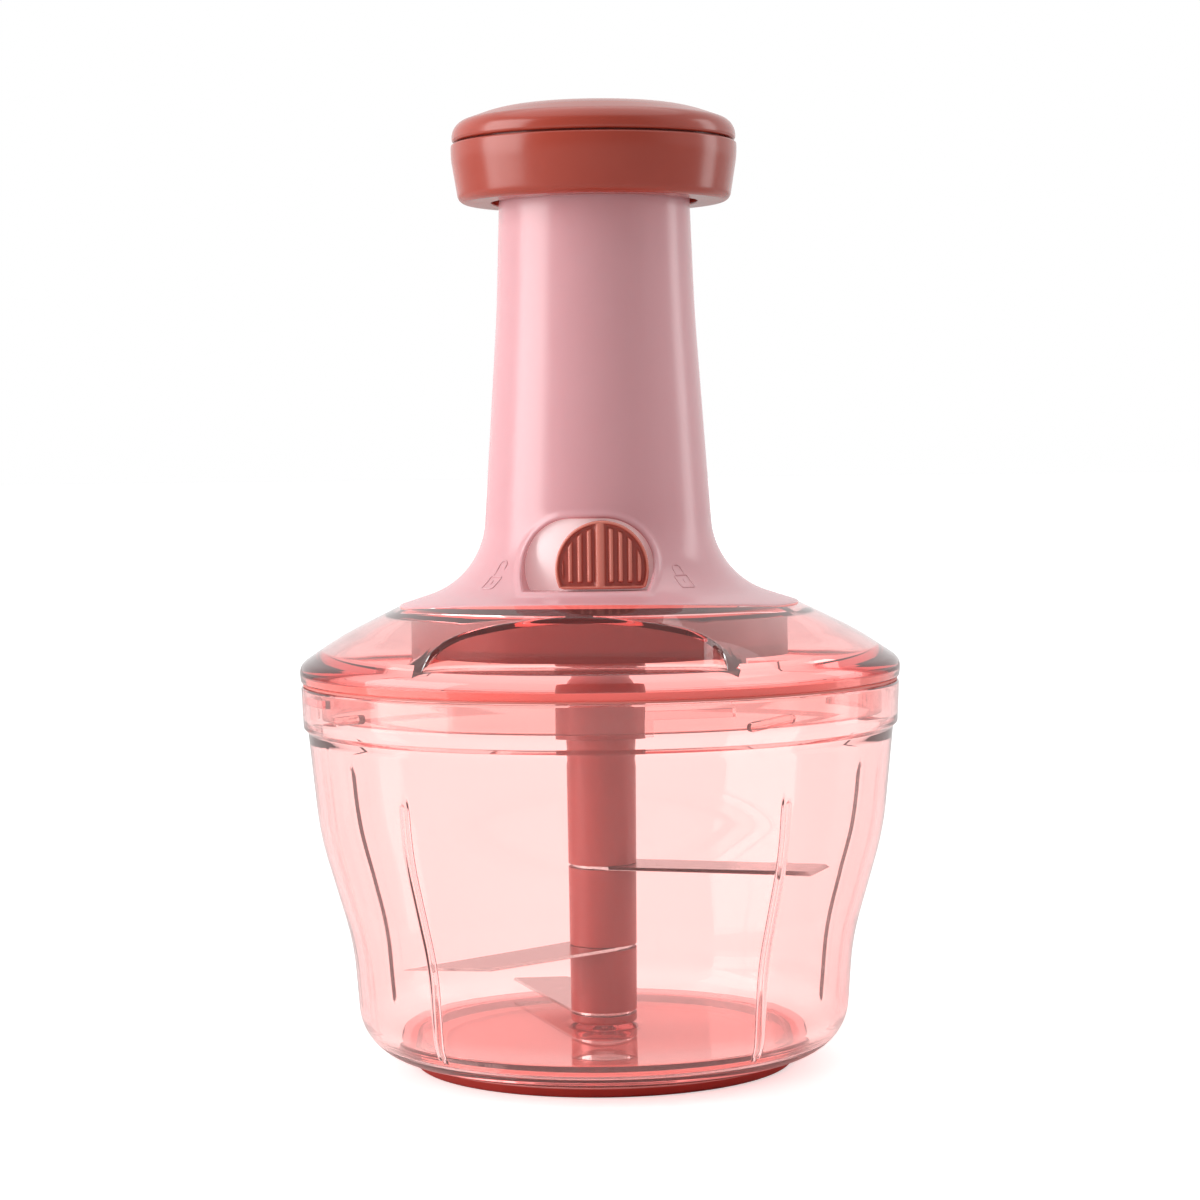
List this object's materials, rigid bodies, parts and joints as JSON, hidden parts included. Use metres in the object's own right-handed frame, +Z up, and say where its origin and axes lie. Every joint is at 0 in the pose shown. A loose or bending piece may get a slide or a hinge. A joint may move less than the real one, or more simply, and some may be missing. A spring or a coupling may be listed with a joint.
{
  "type": "plunger food chopper",
  "caption": "Hand-pressed food chopper: clear bowl, lid with a tall plunger neck, palm knob, sliding lock and a lift-out column of stainless blades.",
  "frame": {"origin": "centre of the face of the foot ring that the chopper stands on", "axes": "+Z up along the axis of the plunger and the blades, -Y towards the lock slider at the front"},
  "size_m": [0.1544, 0.1544, 0.2465],
  "materials": {
    "clear_pink": "transparent pink moulded plastic, gloss",
    "pale_pink_plastic": "opaque moulded plastic, soft gloss",
    "terracotta_plastic": "opaque moulded plastic, fine satin",
    "deep_coral_silicone": "silicone, matt",
    "natural_plastic": "uncoloured low-friction plastic",
    "stainless_steel": "plain stainless",
    "blade_steel": "ground stainless with a sharpened edge"
  },
  "bodies": {
    "bowl": {"bowl": "clear_pink", "non_slip_foot": "deep_coral_silicone", "pivot_pin": "stainless_steel"},
    "seal": {"lid_seal_ring": "deep_coral_silicone"},
    "head": {"lid_cover": "clear_pink", "neck_housing": "pale_pink_plastic", "guide_bush": "natural_plastic", "mechanism_case": "terracotta_plastic", "mechanism_cover": "terracotta_plastic", "shaft_seal": "deep_coral_silicone", "bearing_bush": "natural_plastic", "case_screws": "stainless_steel", "return_spring": "stainless_steel"},
    "plunger": {"plunger_tube": "pale_pink_plastic", "helix_nut": "stainless_steel", "nut_retainer": "natural_plastic", "knob_body": "terracotta_plastic", "knob_cap": "terracotta_plastic", "knob_screws": "stainless_steel"},
    "drive": {"twisted_rod": "stainless_steel", "drive_spindle": "terracotta_plastic", "thrust_washer": "stainless_steel", "clutch_ring": "natural_plastic", "drive_hub": "terracotta_plastic", "hub_screw": "stainless_steel"},
    "lock": {"lock_slider": "terracotta_plastic", "lock_catch": "terracotta_plastic"},
    "blades": {"column_foot": "terracotta_plastic", "blade_lower": "blade_steel", "column_lower": "terracotta_plastic", "blade_middle": "blade_steel", "column_middle": "terracotta_plastic", "blade_upper": "blade_steel", "column_head": "terracotta_plastic", "column_core": "natural_plastic"}
  },
  "joints": [
    {"name": "lid_twist", "type": "hinge", "parent": "bowl", "child": "seal", "pos_m": [0, 0, 0.1], "axis": [0, 0, 1], "range_deg": [-18, 0]},
    {"name": "lid_lift", "type": "slide", "parent": "seal", "child": "head", "axis": [0, 0, 1], "range_m": [0, 0.12]},
    {"name": "plunger_press", "type": "slide", "parent": "head", "child": "plunger", "axis": [0, 0, 1], "range_m": [0, 0.06], "deforming": ["return_spring"]},
    {"name": "rod_turn", "type": "hinge", "parent": "head", "child": "drive", "pos_m": [0, 0, 0.11], "axis": [0, 0, 1], "range_deg": [-361, 1]},
    {"name": "lock_slide", "type": "hinge", "parent": "head", "child": "lock", "pos_m": [0, 0, 0.132], "axis": [0, 0, 1], "range_deg": [-15.4, 1.5]},
    {"name": "blade_spin", "type": "hinge", "parent": "bowl", "child": "blades", "pos_m": [0, 0, 0.03], "axis": [0, 0, 1], "range_deg": [-361, 1]}
  ],
  "couplings": [
    {"joint": "rod_turn", "follows": "plunger_press", "rad_per_m": -104.72},
    {"joint": "blade_spin", "follows": "plunger_press", "rad_per_m": -104.72}
  ]
}
